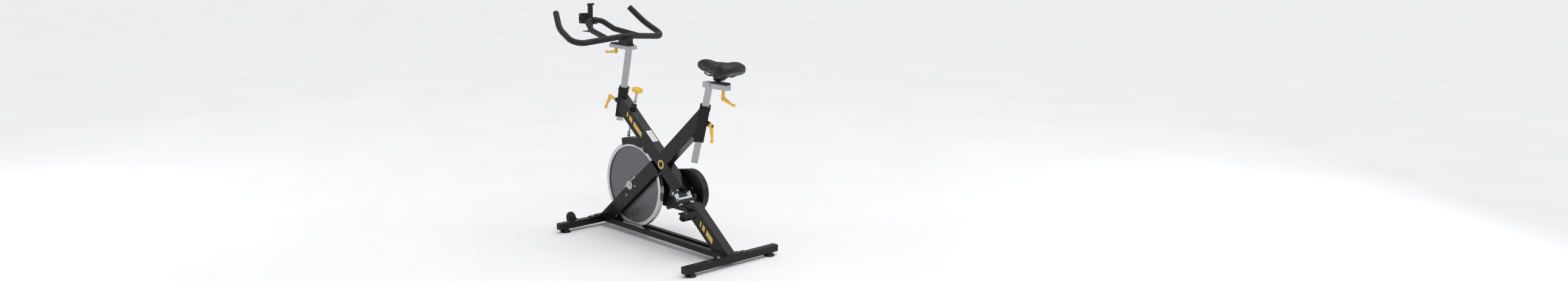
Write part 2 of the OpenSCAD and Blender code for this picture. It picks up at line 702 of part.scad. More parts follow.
// ---- Head post, handlebar and bottle cage ----
post_top = 1007.2;
module head_post() color("#c3c6ca") difference() {
  head_frame() difference() {
    diamond(post_size, -183, 228);
    diamond(post_size - 2 * wall, -184, 207);
    translate([0, 0, 180]) rotate([0, 0, 45]) rotate([90, 0, 0]) cylinder(r = 4, h = 60, $fn = 32);
  }
  box([100, -60, post_top], [350, 60, post_top + 60]);
}
module bar_track() color("#c9ccd0") difference() {
  box([172, -27, post_top], [345, 27, track_top]);
  box([176, -23, post_top + 3], [341, 23, track_top - 3]);
  box([240, -5.5, track_top - 4], [339, 5.5, track_top + 1]);
  box([280, -6, post_top - 1], [339, 6, post_top + 4]);
}
function mirror_y(p) = [p[0], -p[1], p[2]];
module bar_carriage() color("#151516") difference() {
  union() {
    box([192, -24, track_top + gap], [335, 24, track_top + 8]);
    box([200, -22, track_top + 8], [268, 22, 1070]);
  }
  rod([227.2, -60, 1075.2], [227.2, 60, 1075.2], grip_radius);
  rod(bar_corner, bar_middle, grip_radius);
  rod(mirror_y(bar_corner), mirror_y(bar_middle), grip_radius);
  translate([317.5, 0, 1000]) cylinder(r = 4.2, h = 60, $fn = 48);
}
module handlebar() color("#1a1a1b") swept_tube(rounded(
  [
    bar_tip, bar_kink, bar_corner, bar_middle,
    mirror_y(bar_middle), mirror_y(bar_corner), mirror_y(bar_kink), mirror_y(bar_tip)
  ],
  [0, 200, 70, 60, 60, 70, 200, 0], 8
), grip_radius, 24);
// Loop in front of the bar, which carries the bottle cage
module bar_loop() color("#1a1a1b") difference() {
  swept_tube(rounded(
    [loop_end, loop_bend, loop_front, mirror_y(loop_front), mirror_y(loop_bend), mirror_y(loop_end)],
    [0, 60, 36, 36, 60, 0], 8
  ), grip_radius - 1, 24);
  rod(bar_corner, bar_middle, grip_radius);
  rod(mirror_y(bar_corner), mirror_y(bar_middle), grip_radius);
}
// Clamp on the loop, back strip, ring and floor for a bottle
cage_x = 590;
cage_z = 1148;
cage_r = 36.5;
module bottle_cage() color("#121213") {
  // Clamp round the front of the loop
  difference() {
    translate([512, -14, 1135]) rotate([-90, 0, 0]) cylinder(r = grip_radius + 4, h = 28, $fn = 64);
    translate([512, -15, 1135]) rotate([-90, 0, 0]) cylinder(r = grip_radius - 1, h = 30, $fn = 64);
  }
  difference() {
    box([512, -12, 1122], [540, 12, 1148]);
    translate([512, -15, 1135]) rotate([-90, 0, 0]) cylinder(r = grip_radius + 2, h = 30, $fn = 64);
  }
  difference() {
    box([540, -14, 1070], [551, 14, 1226]);
    box([543, -7, 1168], [560, 7, 1216]);
    box([544, -10, 1060], [560, 10, 1160]);
  }
  box([536, -21, 1218], [546, 21, 1228]);
  box([545, -16, 1070], [600, 16, 1073]);
  difference() {
    translate([cage_x, 0, cage_z - 32]) cylinder(r = cage_r, h = 52, $fn = 96);
    translate([cage_x, 0, cage_z - 33]) cylinder(r = cage_r - 3, h = 54, $fn = 96);
    for (s = [-1, 1]) translate([cage_x + 8, s * 30, cage_z - 6]) cube([34, 30, 22], center = true);
  }
}

// ---- Seat post and saddle ----
seat_track_bottom = 877.4;
module seat_post() color("#c3c6ca") difference() {
  seat_frame() difference() {
    diamond(post_size, -306, 114);
    diamond(post_size - 2 * wall, -307, 91);
  }
  box([-520, -60, seat_track_bottom], [-300, 60, seat_track_bottom + 60]);
}
module seat_track() color("#c9ccd0") difference() {
  union() {
    box([-562, -17.5, seat_track_bottom], [-394.5, 17.5, 903]);
    box([-450, -21, seat_track_bottom], [-402, 21, 906.6]);
  }
  box([-558, -14, 880], [-398, 14, 900]);
  box([-557, -5.5, 870], [-492, 5.5, 910]);
}
module saddle_clamp() color("#161617") {
  difference() {
    union() {
      box([-556, -20, 903 + gap], [-462, 20, 913]);
      translate([-492.3, 0, 913]) cylinder(r = 11, h = 12, $fn = 48);
      translate([-501.6, -30, 932]) rotate([-90, 0, 0]) cylinder(r = 12, h = 60, $fn = 48);
      box([-516, -14, 920], [-486, 14, 932]);
    }
    translate([-526.3, 0, 890]) cylinder(r = 4.2, h = 30, $fn = 48);
  }
  for (s = [-1, 1]) translate([-501.6, s * 34 - 4, 932]) rotate([-90, 0, 0]) cylinder(r = 9, h = 8, $fn = 6);
  for (s = [-1, 1]) swept_tube(rounded(
    [[-585, s * 22, 950.4], [-560, s * 22, 942.5], [-440, s * 22, 942.5], [-405, s * 14, 950.4]],
    [0, 20, 20, 0], 4
  ), 3.5, 12);
}
// Outer form of the saddle: a broad padded rear that narrows to a nose
module saddle_form() {
  union() {
    hull() for (s = [-1, 1]) {
      translate([-587, s * 64, 985]) sphere(r = 39.5, $fn = 32);
      translate([-545, s * 50, 972]) sphere(r = 41, $fn = 32);
      translate([-470, s * 8, 985]) sphere(r = 34, $fn = 32);
    }
    hull() {
      translate([-480, 0, 986]) sphere(r = 37, $fn = 32);
      translate([-382, 0, 987]) sphere(r = 33.5, $fn = 32);
    }
  }
}
module saddle_shell() color("#1a1a1b") difference() {
  intersection() {
    saddle_form();
    box([-700, -200, 931], [-300, 200, saddle_split]);
  }
  box([-640, -32, 920], [-395, 32, saddle_split - 4]);
  box([-700, -200, 920], [-560, -32, 945]);
  box([-700, 32, 920], [-560, 200, 945]);
}
module saddle_pad() color("#1a1a1b") intersection() {
  saddle_form();
  box([-700, -200, saddle_split], [-300, 200, 1100]);
}

base_rails();
front_stabilizer();
rear_stabilizer();
main_tube();
seat_tube();
fork_legs();
head_sleeve();
seat_sleeve();
sleeve_liners();
bottom_bracket();
bearings();
guard_inner();
guard_outer();
guard_back_plate();
axle_caps();
frame_bolts();
end_caps();
wheel_brackets();
brake_boot();
drive_belt();
crank_spindle();
crank_left();
crank_right();
drive_pulley();
pedal_left();
pedal_cage_left();
toe_clip_left();
toe_strap_left();
pedal_right();
pedal_cage_right();
toe_clip_right();
toe_strap_right();
flywheel_disc();
flywheel_rim();
flywheel_axle();
head_post();
bar_track();
bar_carriage();
handlebar();
bar_loop();
bottle_cage();
seat_post();
seat_track();
saddle_clamp();
saddle_shell();
saddle_pad();
lever_head();
lever_seat();
lever_bar();
lever_saddle();
brake_knob();
brake_rod();
brake_arm();
brake_pad();
foot_front_left();
foot_front_right();
foot_rear_left();
foot_rear_right();
transport_wheel_left();
transport_wheel_right();
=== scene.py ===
"""Looks of an indoor exercise bike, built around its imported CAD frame.

X points forward, Y to the rider's left, Z up, in metres. Every piece rides on a CAD body.
"""
import json
import math

import bmesh
import bpy
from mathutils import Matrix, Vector


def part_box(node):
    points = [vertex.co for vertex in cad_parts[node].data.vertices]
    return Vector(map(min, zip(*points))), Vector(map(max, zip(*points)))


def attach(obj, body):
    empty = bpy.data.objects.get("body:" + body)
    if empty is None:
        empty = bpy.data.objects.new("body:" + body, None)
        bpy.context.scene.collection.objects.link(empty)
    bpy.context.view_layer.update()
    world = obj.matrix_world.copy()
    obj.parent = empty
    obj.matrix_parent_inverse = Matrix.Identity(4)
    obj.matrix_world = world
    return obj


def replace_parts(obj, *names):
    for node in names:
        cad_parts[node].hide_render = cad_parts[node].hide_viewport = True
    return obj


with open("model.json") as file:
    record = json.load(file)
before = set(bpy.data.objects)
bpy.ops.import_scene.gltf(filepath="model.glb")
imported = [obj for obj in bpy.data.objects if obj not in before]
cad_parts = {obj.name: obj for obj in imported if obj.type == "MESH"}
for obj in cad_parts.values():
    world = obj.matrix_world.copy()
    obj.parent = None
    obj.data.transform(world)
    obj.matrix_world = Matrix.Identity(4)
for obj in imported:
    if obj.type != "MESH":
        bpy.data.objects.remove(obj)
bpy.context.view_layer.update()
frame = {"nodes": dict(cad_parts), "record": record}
NODES = frame["nodes"]

# ---- Design values repeated from the CAD model, in metres ----
MAIN_POINT = Vector((0.2663, 0, 0.7205))
MAIN_DIR = Vector((0.7738, 0, 0.6334))
MAIN_UP = Vector((-0.6334, 0, 0.7738))
TUBE_HALF = 0.0381
TUBE_SIDE = 0.0254
SEAT_POINT = Vector((-0.2511, 0, 0.599))
SEAT_DIR = Vector((0.7431, 0, -0.6691))
SEAT_UP = Vector((0.6691, 0, 0.7431))
GUARD_FACE = -0.077
BAR = [(0.5168, 0.2519, 1.1951), (0.4309, 0.291, 1.1152), (0.2755, 0.306, 1.0481), (0.2272, 0.0228, 1.0752)]
BAR_TURNS = [0.2, 0.07, 0.06]
LOOP = [(0.2435, 0.112, 1.0645), (0.431, 0.076, 1.092), (0.512, 0.049, 1.135)]
LOOP_TURNS = [0.06, 0.036]
GRIP = 0.016

# ---- Sizes of the looks themselves, in metres ----
PRINT_LOW, PRINT_HIGH = 0.0001, 0.0004
PRINT_OVER = 0.0003
SEAM_RADIUS, PIPING_RADIUS = 0.0008, 0.0013
OVAL_LONG, OVAL_TALL, OVAL_LINE, OVAL_THICK = 0.0725, 0.0405, 0.0025, 0.0005
JOINT_HALF, JOINT_THICK = 0.0006, 0.0003
DOT_RADIUS, DOT_PLACE = 0.024, -0.455
# The dark eye's size, as a share of the dot's
DOT_SHARE = 0.62


# ---- Materials ----
class Look:
    """A Principled material with noise-driven colour, roughness and relief."""

    def __init__(self, name, colour, rough, metal=0.0, coat=0.0, coat_rough=0.08, specular=0.5, sheen=0.0):
        self.mat = bpy.data.materials.new(name)
        self.mat.use_nodes = True
        self.tree = self.mat.node_tree
        self.bsdf = self.tree.nodes["Principled BSDF"]
        self.colour, self.rough = colour, rough
        put = self.bsdf.inputs
        put["Base Color"].default_value = (*colour, 1)
        put["Roughness"].default_value = rough
        put["Metallic"].default_value = metal
        put["Coat Weight"].default_value = coat
        put["Coat Roughness"].default_value = coat_rough
        put["Specular IOR Level"].default_value = specular
        put["Sheen Weight"].default_value = sheen
        self.where = self.tree.nodes.new("ShaderNodeTexCoord").outputs["Object"]
        self.height = None

    def node(self, kind, **values):
        made = self.tree.nodes.new(kind)
        for key, value in values.items():
            setattr(made, key, value)
        return made

    def scaled(self, scale):
        mapping = self.node("ShaderNodeMapping")
        mapping.inputs["Scale"].default_value = scale
        self.tree.links.new(self.where, mapping.inputs["Vector"])
        return mapping.outputs["Vector"]

    def noise(self, scale, detail=4.0, stretch=(1, 1, 1)):
        made = self.node("ShaderNodeTexNoise")
        made.inputs["Scale"].default_value = scale
        made.inputs["Detail"].default_value = detail
        self.tree.links.new(self.scaled(stretch), made.inputs["Vector"])
        return made.outputs["Fac"]

    def cells(self, scale, feature="F1"):
        made = self.node("ShaderNodeTexVoronoi", feature=feature)
        made.inputs["Scale"].default_value = scale
        self.tree.links.new(self.scaled((1, 1, 1)), made.inputs["Vector"])
        return made.outputs["Distance"]

    def bands(self, scale, direction, distortion=0.0):
        made = self.node("ShaderNodeTexWave", bands_direction=direction)
        made.inputs["Scale"].default_value = scale
        made.inputs["Distortion"].default_value = distortion
        self.tree.links.new(self.scaled((1, 1, 1)), made.inputs["Vector"])
        return made.outputs["Fac"]

    def ranged(self, source, low, high, start=0.3, stop=0.7):
        made = self.node("ShaderNodeMapRange")
        for key, value in (("From Min", start), ("From Max", stop), ("To Min", low), ("To Max", high)):
            made.inputs[key].default_value = value
        self.tree.links.new(source, made.inputs["Value"])
        return made.outputs["Result"]

    def roughen(self, source, spread):
        result = self.ranged(source, self.rough - spread, self.rough + spread)
        self.tree.links.new(result, self.bsdf.inputs["Roughness"])
        return self

    def tint(self, source, other, start=0.3, stop=0.7):
        mix = self.node("ShaderNodeMix", data_type="RGBA")
        mix.inputs["A"].default_value = (*self.colour, 1)
        mix.inputs["B"].default_value = (*other, 1)
        self.tree.links.new(self.ranged(source, 0.0, 1.0, start, stop), mix.inputs["Factor"])
        self.tree.links.new(mix.outputs["Result"], self.bsdf.inputs["Base Color"])
        return self

    def relief(self, source, depth, strength=1.0):
        bump = self.node("ShaderNodeBump")
        bump.inputs["Distance"].default_value = depth
        bump.inputs["Strength"].default_value = strength
        self.tree.links.new(source, bump.inputs["Height"])
        if self.height:
            self.tree.links.new(self.height, bump.inputs["Normal"])
        self.height = bump.outputs["Normal"]
        self.tree.links.new(self.height, self.bsdf.inputs["Normal"])
        return self


def frame_paint():
    look = Look("frame_paint", (0.003, 0.003, 0.0033), 0.22, specular=0.26)
    look.roughen(look.noise(9), 0.05).tint(look.noise(3), (0.0045, 0.0045, 0.005))
    return look.relief(look.noise(420, 2), 0.00012, 0.35).mat


def guard_plastic():
    look = Look("guard_plastic", (0.0055, 0.0055, 0.006), 0.36, specular=0.3)
    look.roughen(look.noise(14), 0.05).tint(look.noise(5), (0.0085, 0.0085, 0.009))
    return look.relief(look.noise(1600, 3), 0.0001, 0.5).mat


def black_plastic():
    look = Look("black_plastic", (0.0045, 0.0045, 0.0048), 0.44, specular=0.3)
    look.roughen(look.noise(30), 0.06).tint(look.noise(12), (0.0075, 0.0075, 0.008))
    return look.relief(look.noise(1400, 3), 0.00012, 0.5).mat


def brushed(name, colour, rough, stretch, coat=0.0):
    look = Look(name, colour, rough, metal=1.0, coat=coat)
    grain = look.noise(240, 3, stretch)
    look.roughen(grain, 0.09).tint(look.noise(7, 3, stretch), tuple(c * 0.86 for c in colour))
    return look.relief(grain, 0.00008, 0.45).mat


def turned_disc():
    look = Look("turned_disc", (0.15, 0.152, 0.158), 0.3, metal=1.0)
    look.roughen(look.noise(60, 6), 0.07).tint(look.noise(260, 5), (0.115, 0.118, 0.124))
    return look.relief(look.noise(700, 4), 0.0001, 0.5).mat


def foam():
    look = Look("foam", (0.006, 0.006, 0.0063), 0.6, specular=0.35, sheen=0.06)
    look.roughen(look.noise(80), 0.08).tint(look.noise(30, 5), (0.01, 0.01, 0.0105))
    return look.relief(look.noise(900, 5), 0.00022, 0.7).mat


def vinyl():
    look = Look("vinyl", (0.006, 0.006, 0.0063), 0.42, specular=0.4)
    look.roughen(look.noise(40), 0.05).tint(look.noise(18, 4), (0.009, 0.009, 0.0095))
    look.relief(look.cells(520, "DISTANCE_TO_EDGE"), 0.0002, 0.55)
    return look.relief(look.noise(1500, 3), 0.0001, 0.4).mat


def rubber():
    look = Look("rubber", (0.006, 0.006, 0.006), 0.6, specular=0.3)
    look.roughen(look.noise(50), 0.08).tint(look.noise(20), (0.01, 0.01, 0.01))
    return look.relief(look.noise(800, 4), 0.0002, 0.5).mat


def webbing():
    look = Look("webbing", (0.006, 0.006, 0.0063), 0.72, specular=0.3, sheen=0.1)
    look.tint(look.noise(300), (0.02, 0.02, 0.021)).relief(look.bands(260, "DIAGONAL"), 0.0003, 0.8)
    return look.relief(look.bands(300, "Y"), 0.0003, 0.6).mat


def yellow_plastic():
    look = Look("yellow_plastic", (0.86, 0.52, 0.055), 0.38, coat=0.15)
    look.roughen(look.noise(60), 0.06).tint(look.noise(25, 4), (0.78, 0.45, 0.04))
    return look.relief(look.noise(1000, 3), 0.0001, 0.5).mat


def cast_alloy():
    look = Look("cast_alloy", (0.66, 0.665, 0.675), 0.33, metal=1.0)
    look.roughen(look.noise(90), 0.08).tint(look.noise(40, 5), (0.52, 0.525, 0.535))
    return look.relief(look.noise(600, 4), 0.00015, 0.5).mat


def crank_paint():
    look = Look("crank_paint", (0.0055, 0.0055, 0.006), 0.3, specular=0.35)
    look.roughen(look.noise(50), 0.07)
    return look.relief(look.noise(300, 3), 0.0002, 0.5).mat


def felt():
    look = Look("felt", (0.28, 0.22, 0.15), 0.9, sheen=0.4)
    return look.tint(look.noise(400, 5), (0.2, 0.16, 0.1)).relief(look.noise(900, 5), 0.0004).mat


def printed(name, colour, rough=0.4):
    look = Look(name, colour, rough)
    return look.roughen(look.noise(60), 0.05).tint(look.noise(120, 4), tuple(c * 0.9 for c in colour)).mat


PAINT, GUARD, BLACK = frame_paint(), guard_plastic(), black_plastic()
STEEL = brushed("brushed_steel", (0.42, 0.425, 0.435), 0.28, (1, 1, 0.04))
ZINC = brushed("zinc", (0.45, 0.455, 0.465), 0.25, (1, 1, 1))
POLISHED = brushed("polished_rim", (0.56, 0.565, 0.575), 0.2, (0.6, 6, 0.6))
DISC, FOAM, VINYL, RUBBER, STRAP = turned_disc(), foam(), vinyl(), rubber(), webbing()
YELLOW, ALLOY, CRANK_PAINT, FELT = yellow_plastic(), cast_alloy(), crank_paint(), felt()
GOLD = printed("gold_print", (0.72, 0.5, 0.09))
CREAM = printed("cream_print", (0.66, 0.58, 0.44))
PIPING = rubber()
WHITE = printed("white_sticker", (0.85, 0.86, 0.88))
GREY = printed("grey_print", (0.3, 0.31, 0.33))
RED = printed("red_print", (0.6, 0.02, 0.02))


# ---- Building pieces ----
def piece(name, mesh, body, slot, *materials):
    obj = bpy.data.objects.new(name, mesh)
    bpy.context.collection.objects.link(obj)
    for material in materials:
        mesh.materials.append(material)
    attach(obj, body)
    return obj


def body_of_node(node):
    return next(b for b, names in frame["record"]["behaviour"]["bodies"].items() if node in names)


def slot_of_node(node):
    return next(s["material_slot"] for s in frame["record"]["subparts"] if s["node"] == node)


def finish_edges(bm, sharp):
    """Smooth faces, with a crease where two faces meet at more than sharp degrees."""
    for face in bm.faces:
        face.smooth = True
    for edge in bm.edges:
        edge.smooth = len(edge.link_faces) == 2 and edge.calc_face_angle(0) < math.radians(sharp)


def refine(node, *materials, bevel=0.001, segments=2, sharp=32, chooser=None):
    """A CAD node's own shape with rounded edges and clean shading, standing for that node."""
    bm = bmesh.new()
    bm.from_mesh(NODES[node].data)
    bmesh.ops.remove_doubles(bm, verts=bm.verts, dist=1e-6)
    bmesh.ops.dissolve_limit(bm, angle_limit=math.radians(0.6), verts=bm.verts, edges=bm.edges)
    finish_edges(bm, sharp)
    for face in bm.faces:
        face.material_index = chooser(face.calc_center_median()) if chooser else 0
    mesh = bpy.data.meshes.new(node + "_looks")
    bm.to_mesh(mesh)
    bm.free()
    obj = piece(node + "_looks", mesh, body_of_node(node), slot_of_node(node), *materials)
    if bevel:
        edge = obj.modifiers.new("rounded", "BEVEL")
        edge.width, edge.segments, edge.limit_method = bevel, segments, "ANGLE"
        edge.angle_limit = math.radians(sharp)
        edge.use_clamp_overlap = True
        edge.harden_normals = False
        obj.modifiers.new("normals", "WEIGHTED_NORMAL").keep_sharp = True
    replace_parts(obj, node)
    return obj


def rounded_path(points, turns, steps=14):
    """The points of a line whose inner corners are arcs of the given radii."""
    points = [Vector(p) for p in points]
    out = [points[0]]
    for before, at, after, radius in zip(points, points[1:], points[2:], turns):
        a, b = (before - at).normalized(), (after - at).normalized()
        half = a.angle(b) / 2
        centre = at + (a + b).normalized() * radius / math.sin(half)
        x = (at + a * radius / math.tan(half) - centre).normalized()
        y = x.cross((at + b * radius / math.tan(half) - centre)).cross(x).normalized()
        sweep = math.pi - 2 * half
        out += [centre + radius * (math.cos(sweep * i / steps) * x + math.sin(sweep * i / steps) * y)
                for i in range(steps + 1)]
    return out + [points[-1]]


def mirrored(points):
    return [Vector((p[0], -p[1], p[2])) for p in reversed(points)]


def resampled(path, step):
    out, left = [path[0]], step
    for a, b in zip(path, path[1:]):
        length, done = (b - a).length, 0.0
        while length - done > left:
            done += left
            out.append(a.lerp(b, done / length))
            left = step
        left -= length - done
    return out + [path[-1]]


def tube_mesh(name, path, radius, sides=40):
    """A round tube along path. radius is a number or a function of the distance from its nearer end."""
    bm = bmesh.new()
    total = sum((b - a).length for a, b in zip(path, path[1:]))
    rings, travelled = [], 0.0
    turns = [2 * math.pi * k / sides for k in range(sides)]
    for i, point in enumerate(path):
        if i:
            travelled += (point - path[i - 1]).length
        t = (path[min(i + 1, len(path) - 1)] - path[max(i - 1, 0)]).normalized()
        u = Vector((0, 0, 1)).cross(t).normalized()
        v = t.cross(u)
        r = radius(min(travelled, total - travelled)) if callable(radius) else radius
        rings.append([bm.verts.new(point + r * (math.cos(turn) * u + math.sin(turn) * v)) for turn in turns])
    for a, b in zip(rings, rings[1:]):
        for k in range(sides):
            bm.faces.new((a[k], a[(k + 1) % sides], b[(k + 1) % sides], b[k]))
    for ring, flip in ((rings[0], True), (rings[-1], False)):
        bm.faces.new(ring[::-1] if flip else ring)
    bmesh.ops.recalc_face_normals(bm, faces=bm.faces)
    finish_edges(bm, 50)
    mesh = bpy.data.meshes.new(name)
    bm.to_mesh(mesh)
    bm.free()
    return mesh


def grip_radius(end):
    """Foam thickness near the end of a grip: a rounded mouth, a plug seam, then the plain sleeve."""
    if end < 0.004:
        return GRIP * (0.72 + 0.28 * math.sqrt(max(0.0, 1 - (1 - end / 0.004) ** 2)))
    seam = math.exp(-((end - 0.013) / 0.0012) ** 2)
    return GRIP - 0.0009 * seam


def handlebar():
    left = rounded_path(BAR + [(BAR[-1][0], 0, BAR[-1][2])], BAR_TURNS)
    path = resampled(left + mirrored(left)[1:], 0.0045)
    head = [path[0].lerp(path[1], f) for f in (0.0, 0.15, 0.35, 0.6, 0.85)]
    tail = [path[-1].lerp(path[-2], f) for f in (0.85, 0.6, 0.35, 0.15, 0.0)]
    mesh = tube_mesh("handlebar_foam", head + path[1:-1] + tail, grip_radius, 48)
    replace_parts(piece("handlebar_foam", mesh, "bar", "foam", FOAM), "handlebar")
    side = rounded_path(LOOP + [(LOOP[-1][0], 0, LOOP[-1][2])], LOOP_TURNS)
    path = resampled(side + mirrored(side)[1:], 0.005)
    mesh = tube_mesh("loop_foam", path, GRIP - 0.001, 40)
    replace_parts(piece("loop_foam", mesh, "bar", "foam", FOAM), "bar_loop")


# ---- Saddle ----
def smooth_curve(keys, x):
    """Cosine interpolation through (x, value) keys in rising x."""
    if x <= keys[0][0]:
        return keys[0][1]
    for (x0, v0), (x1, v1) in zip(keys, keys[1:]):
        if x <= x1:
            f = (1 - math.cos(math.pi * (x - x0) / (x1 - x0))) / 2
            return v0 + (v1 - v0) * f
    return keys[-1][1]


# Distance behind the nose, as a share of the saddle's length, and the value there
SADDLE_WIDTH = [(0.0, 0.031), (0.18, 0.035), (0.38, 0.042), (0.56, 0.066),
                (0.75, 0.099), (0.88, 0.1055), (1.0, 0.1)]
SADDLE_TOP = [(0.0, 1.016), (0.14, 1.0215), (0.42, 1.009), (0.62, 1.01), (0.84, 1.0245), (1.0, 1.017)]
SADDLE_SIDE = [(0.0, 0.984), (0.4, 0.974), (0.7, 0.97), (1.0, 0.982)]
SADDLE_LOW = [(0.0, 0.962), (0.2, 0.951), (0.55, 0.943), (0.72, 0.934), (0.88, 0.942), (1.0, 0.958)]


def saddle_point(share, a):
    """The cover's surface at a share of its length and an angle round it, from the left side over the top."""
    low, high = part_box("saddle_pad")
    nose, rear = high[0] - 0.0006, low[0] + 0.0006
    blunt = math.sin(math.acos(1 - 2 * share)) ** 0.52
    width = smooth_curve(SADDLE_WIDTH, share) * blunt
    side, top, bottom = (smooth_curve(keys, share) for keys in (SADDLE_SIDE, SADDLE_TOP, SADDLE_LOW))
    c, s = math.cos(a), math.sin(a)
    y = width * math.copysign(abs(c) ** 0.8, c)
    if s >= 0:
        channel = math.exp(-(y / 0.012) ** 2) * math.exp(-((share - 0.5) / 0.24) ** 4)
        sit = math.exp(-((abs(y) - 0.055) / 0.025) ** 2) * math.exp(-((share - 0.8) / 0.14) ** 2)
        z = side + (top - side) * s ** 0.85 * blunt + (0.002 * sit - 0.0048 * channel) * s
    else:
        spread = 0.8 + 0.2 * min(1.0, abs(y) / max(width, 1e-6))
        z = side - (side - bottom) * spread * abs(s) ** 0.55 * blunt
    return Vector((nose + (rear - nose) * share, y, z))


def saddle():
    bm = bmesh.new()
    along, around = 64, 72
    shares = [(1 - math.cos(math.pi * i / along)) / 2 for i in range(1, along)]
    rings = [[bm.verts.new(saddle_point(share, 2 * math.pi * k / around)) for k in range(around)]
             for share in shares]
    for a, b in zip(rings, rings[1:]):
        for k in range(around):
            bm.faces.new((a[k], a[(k + 1) % around], b[(k + 1) % around], b[k]))
    for ring, share in ((rings[0], 0.0), (rings[-1], 1.0)):
        tip = bm.verts.new(saddle_point(share, 0))
        for k in range(around):
            bm.faces.new((ring[k], ring[(k + 1) % around], tip))
    bmesh.ops.recalc_face_normals(bm, faces=bm.faces)
    finish_edges(bm, 60)
    mesh = bpy.data.meshes.new("saddle_cover")
    bm.to_mesh(mesh)
    bm.free()
    pad = piece("saddle_cover", mesh, "saddle", "vinyl", VINYL)
    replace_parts(pad, "saddle_pad", "saddle_shell")
    soft = pad.modifiers.new("soft", "SUBSURF")
    soft.levels = soft.render_levels = 1
    # Welted seams beside the channel, and a piping cord round the rear
    for sign, side in ((1, "left"), (-1, "right")):
        line = [saddle_point(0.16 + 0.6 * i / 40, math.radians(90 - sign * (24 - 9 * i / 40)))
                for i in range(41)]
        mesh = tube_mesh(f"saddle_seam_{side}", line, SEAM_RADIUS, 8)
        piece(f"saddle_seam_{side}", mesh, "saddle", "vinyl", VINYL)
    edge = [saddle_point(0.62 + 0.36 * i / 20, math.radians(28)) for i in range(20)]
    rear = [saddle_point(0.98, math.radians(28 + 124 * i / 30)) for i in range(31)]
    cord = edge + rear + mirrored(edge)
    mesh = tube_mesh("saddle_piping", resampled(cord, 0.004), PIPING_RADIUS, 10)
    piece("saddle_piping", mesh, "saddle", "vinyl", PIPING)


# ---- Flat prints ----
def patch(name, origin, along, across, outline, lift, body, slot, material):
    """A thin closed plate on a flat face. The outline's points are (along, across) from origin."""
    bm = bmesh.new()
    normal = along.cross(across).normalized()
    if normal.dot(lift) < 0:
        normal = -normal
    low = [bm.verts.new(origin + along * a + across * b + normal * PRINT_LOW) for a, b in outline]
    high = [bm.verts.new(origin + along * a + across * b + normal * PRINT_HIGH) for a, b in outline]
    bm.faces.new(low)
    bm.faces.new(high)
    for i in range(len(outline)):
        j = (i + 1) % len(outline)
        bm.faces.new((low[i], low[j], high[j], high[i]))
    bmesh.ops.recalc_face_normals(bm, faces=bm.faces)
    mesh = bpy.data.meshes.new(name)
    bm.to_mesh(mesh)
    bm.free()
    return piece(name, mesh, body, slot, material)


def slanted(a0, a1, b0, b1, slant=0.012):
    return [(a0, b0), (a1, b0), (a1 + slant, b1), (a0 + slant, b1)]


def tube_prints():
    """Plain slanted bars along both faces of the main tube, in place of lettering."""
    for s, side in ((1, "left"), (-1, "right")):
        origin = MAIN_POINT + Vector((0, s * TUBE_SIDE, 0))
        out = Vector((0, s, 0))
        for i, (start, length) in enumerate(((-0.255, 0.085), (-0.155, 0.03), (-0.11, 0.012))):
            bar = slanted(start, start + length, -0.010, 0.012)
            patch(f"upper_bar_{side}_{i}", origin, MAIN_DIR, MAIN_UP, bar, out, "frame", "yellow", GOLD)
        for i, (start, length) in enumerate(((-0.98, 0.06), (-0.905, 0.022), (-0.87, 0.01))):
            bar = slanted(start, start + length, -0.014, 0.012)
            patch(f"lower_bar_{side}_{i}", origin, MAIN_DIR, MAIN_UP, bar, out, "frame", "yellow", GOLD)
        turns = [2 * math.pi * i / 40 for i in range(40)]
        ring = [(DOT_PLACE + DOT_RADIUS * math.cos(turn), DOT_RADIUS * math.sin(turn)) for turn in turns]
        patch(f"crossing_dot_{side}", origin, MAIN_DIR, MAIN_UP, ring, out, "frame", "yellow", GOLD)
        inner = [(a * DOT_SHARE + DOT_PLACE * (1 - DOT_SHARE), b * DOT_SHARE) for a, b in ring]
        patch(f"crossing_eye_{side}", origin + out * PRINT_OVER, MAIN_DIR, MAIN_UP, inner,
              out, "frame", "frame_paint", PAINT)


def oval_badge():
    """A plain oval outline with one bar inside, on the guard's outer face."""
    centre = Vector((0.0935, GUARD_FACE, 0.2605))
    x, z, out = Vector((1, 0, 0)), Vector((0, 0, 1)), Vector((0, -1, 0))
    bm = bmesh.new()
    steps, rings = 96, []
    turns = [2 * math.pi * i / steps for i in range(steps)]
    for inset, y in ((0.0, 0.0), (0.0, OVAL_THICK), (OVAL_LINE, OVAL_THICK), (OVAL_LINE, 0.0)):
        rx, rz = OVAL_LONG - inset, OVAL_TALL - inset
        rings.append([bm.verts.new(centre + Vector((rx * math.cos(turn), -y, rz * math.sin(turn))))
                      for turn in turns])
    for a, b in zip(rings, rings[1:] + rings[:1]):
        for k in range(steps):
            bm.faces.new((a[k], a[(k + 1) % steps], b[(k + 1) % steps], b[k]))
    bmesh.ops.recalc_face_normals(bm, faces=bm.faces)
    mesh = bpy.data.meshes.new("guard_oval")
    bm.to_mesh(mesh)
    bm.free()
    piece("guard_oval", mesh, "frame", "yellow", CREAM)
    long_bar = slanted(-0.042, 0.030, -0.004, 0.005, 0.006)
    patch("guard_bar_0", centre, x, z, long_bar, out, "frame", "yellow", CREAM)
    short_bar = slanted(-0.030, 0.018, -0.017, -0.011, 0.006)
    patch("guard_bar_1", centre, x, z, short_bar, out, "frame", "yellow", GOLD)


